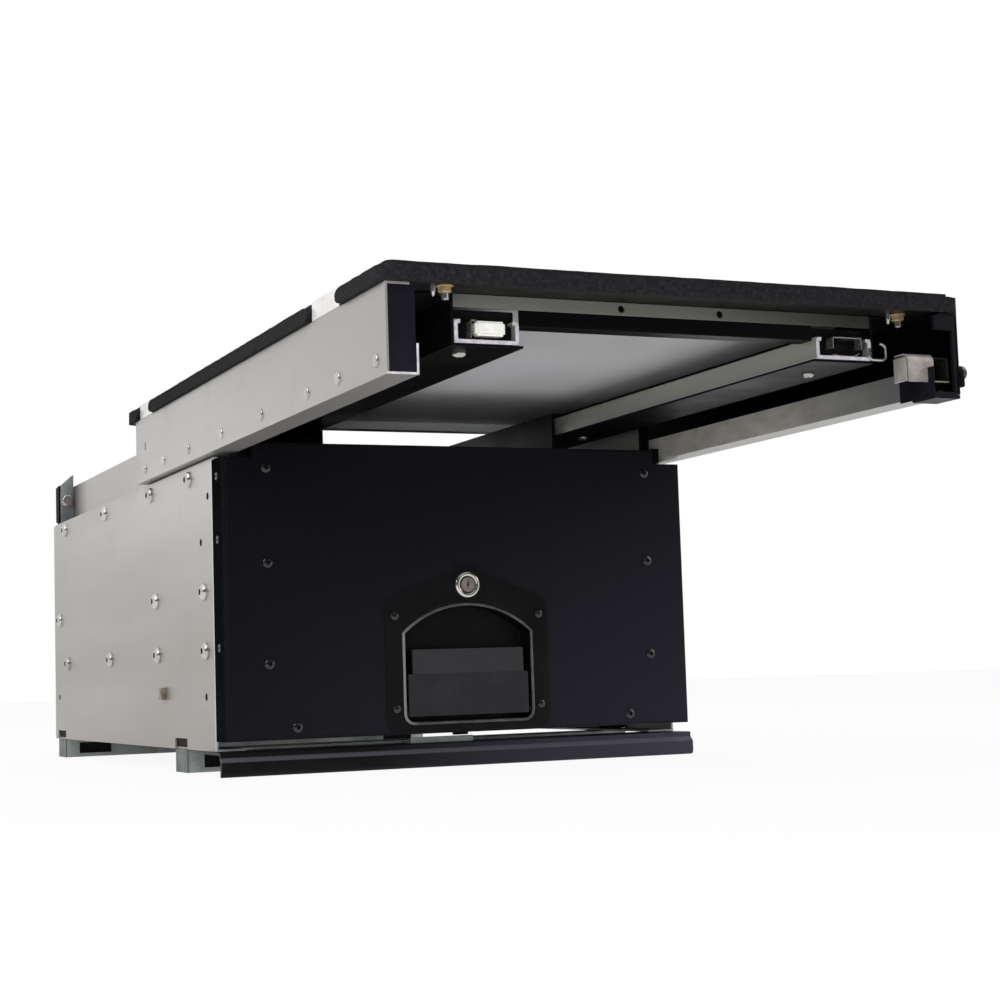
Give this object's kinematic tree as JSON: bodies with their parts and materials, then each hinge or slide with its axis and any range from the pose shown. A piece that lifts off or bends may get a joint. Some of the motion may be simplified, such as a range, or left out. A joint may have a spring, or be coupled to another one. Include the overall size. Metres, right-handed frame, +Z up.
{
  "type": "cargo drawer box with sliding deck",
  "caption": "Low sheet-metal vehicle drawer box: lockable front drawer on telescopic slides under a carpeted load deck that slides out, with fold-down lashing rings.",
  "frame": {"origin": "on the floor, on the centre line, under the side panels' front edges", "axes": "+Z up, +Y from the drawer front towards the closed rear, +X to the right seen from the front"},
  "size_m": [0.5313, 1.3166, 0.4013],
  "materials": {
    "satin_zinc": "satin zinc-plated sheet",
    "galvanised": "galvanised sheet, dull",
    "black_coat": "semi-matt black powder coat",
    "slide_steel": "rolled, lightly oiled",
    "bright_zinc": "bright zinc plating",
    "black_moulding": "black moulded cap",
    "underside": "bright rolled sheet",
    "board": "black faced board",
    "carpet": "charcoal needle-punch carpet",
    "chrome": "polished"
  },
  "bodies": {
    "box": {"side_panel_left": "satin_zinc", "side_panel_right": "satin_zinc", "rear_panel": "satin_zinc", "foot_channel_front": "galvanised", "foot_channel_rear": "galvanised", "front_sill": "black_coat", "top_rail_left": "galvanised", "top_rail_right": "galvanised", "top_tie_front": "black_coat", "top_tie_rear": "black_coat", "hanger_rail_left": "black_coat", "hanger_rail_right": "black_coat", "deck_slide_inner_left": "slide_steel", "deck_slide_inner_right": "slide_steel", "drawer_slide_outer_left": "slide_steel", "drawer_slide_outer_right": "slide_steel", "deck_keeper_left": "black_coat", "deck_keeper_right": "black_coat", "rear_stop_left": "bright_zinc", "rear_stop_right": "bright_zinc", "drawer_keeper": "bright_zinc"},
    "deck": {"deck_channel_left": "satin_zinc", "deck_channel_right": "satin_zinc", "end_cap_left": "black_moulding", "end_cap_right": "black_moulding", "deck_beam_left": "black_coat", "deck_beam_right": "black_coat", "deck_slide_outer_left": "slide_steel", "deck_slide_outer_right": "slide_steel", "deck_cross_front": "black_coat", "deck_front_plate": "galvanised", "deck_underside_sheet": "underside", "deck_board": "board", "deck_carpet": "carpet", "latch_housing": "bright_zinc", "lashing_pan_front_left": "bright_zinc", "lashing_pan_front_right": "bright_zinc", "lashing_pan_rear_left": "bright_zinc", "lashing_pan_rear_right": "bright_zinc"},
    "deck_middles": {"deck_slide_middle_left": "slide_steel", "deck_slide_middle_right": "slide_steel"},
    "ring_front_left": {"lashing_ring_front_left": "bright_zinc"},
    "ring_front_right": {"lashing_ring_front_right": "bright_zinc"},
    "ring_rear_left": {"lashing_ring_rear_left": "bright_zinc"},
    "ring_rear_right": {"lashing_ring_rear_right": "bright_zinc"},
    "deck_latch": {"latch_bolt": "black_coat"},
    "drawer": {"drawer_front": "black_coat", "drawer_tub": "black_coat", "front_bracket_left": "black_coat", "front_bracket_right": "black_coat", "drawer_slide_inner_left": "slide_steel", "drawer_slide_inner_right": "slide_steel", "handle_dish": "black_coat", "lock_ring": "chrome"},
    "drawer_middles": {"drawer_slide_middle_left": "slide_steel", "drawer_slide_middle_right": "slide_steel"},
    "paddle": {"paddle": "black_coat"},
    "drawer_bolt": {"drawer_bolt": "black_coat"},
    "lock": {"lock_cylinder": "chrome"}
  },
  "joints": [
    {"name": "deck_slide", "type": "slide", "parent": "box", "child": "deck", "axis": [0, -1, 0], "range_m": [-0.4756, 0.25]},
    {"name": "deck_middle_slide", "type": "slide", "parent": "box", "child": "deck_middles", "axis": [0, -1, 0], "range_m": [-0.2378, 0.125]},
    {"name": "drawer_slide", "type": "slide", "parent": "box", "child": "drawer", "axis": [0, -1, 0], "range_m": [0, 0.7]},
    {"name": "drawer_middle_slide", "type": "slide", "parent": "box", "child": "drawer_middles", "axis": [0, -1, 0], "range_m": [0, 0.35]},
    {"name": "ring_hinge_front_left", "type": "hinge", "parent": "deck", "child": "ring_front_left", "pos_m": [-0.2324, -0.3751, 0.3886], "axis": [0, 1, 0], "range_deg": [0, 110]},
    {"name": "ring_hinge_front_right", "type": "hinge", "parent": "deck", "child": "ring_front_right", "pos_m": [0.2324, -0.3751, 0.3886], "axis": [0, -1, 0], "range_deg": [0, 110]},
    {"name": "ring_hinge_rear_left", "type": "hinge", "parent": "deck", "child": "ring_rear_left", "pos_m": [-0.2324, 0.2364, 0.3886], "axis": [0, 1, 0], "range_deg": [0, 110]},
    {"name": "ring_hinge_rear_right", "type": "hinge", "parent": "deck", "child": "ring_rear_right", "pos_m": [0.2324, 0.2364, 0.3886], "axis": [0, -1, 0], "range_deg": [0, 110]},
    {"name": "deck_latch_slide", "type": "slide", "parent": "deck", "child": "deck_latch", "axis": [1, 0, 0], "range_m": [0, 0.012], "stiffness_N_per_m": 400},
    {"name": "paddle_hinge", "type": "hinge", "parent": "drawer", "child": "paddle", "pos_m": [0, -0.034, 0.0545], "axis": [1, 0, 0], "range_deg": [0, 35], "stiffness_Nm_per_rad": 0.6},
    {"name": "drawer_bolt_lift", "type": "slide", "parent": "drawer", "child": "drawer_bolt", "axis": [0, 0, 1], "range_m": [0, 0.008]},
    {"name": "lock_turn", "type": "hinge", "parent": "drawer", "child": "lock", "pos_m": [0, -0.0075, 0.1816], "axis": [0, -1, 0], "range_deg": [0, 90]}
  ],
  "couplings": [
    {"joint": "deck_middle_slide", "follows": "deck_slide", "ratio": 0.5},
    {"joint": "drawer_middle_slide", "follows": "drawer_slide", "ratio": 0.5},
    {"joint": "drawer_bolt_lift", "follows": "paddle_hinge", "m_per_rad": 0.013}
  ]
}
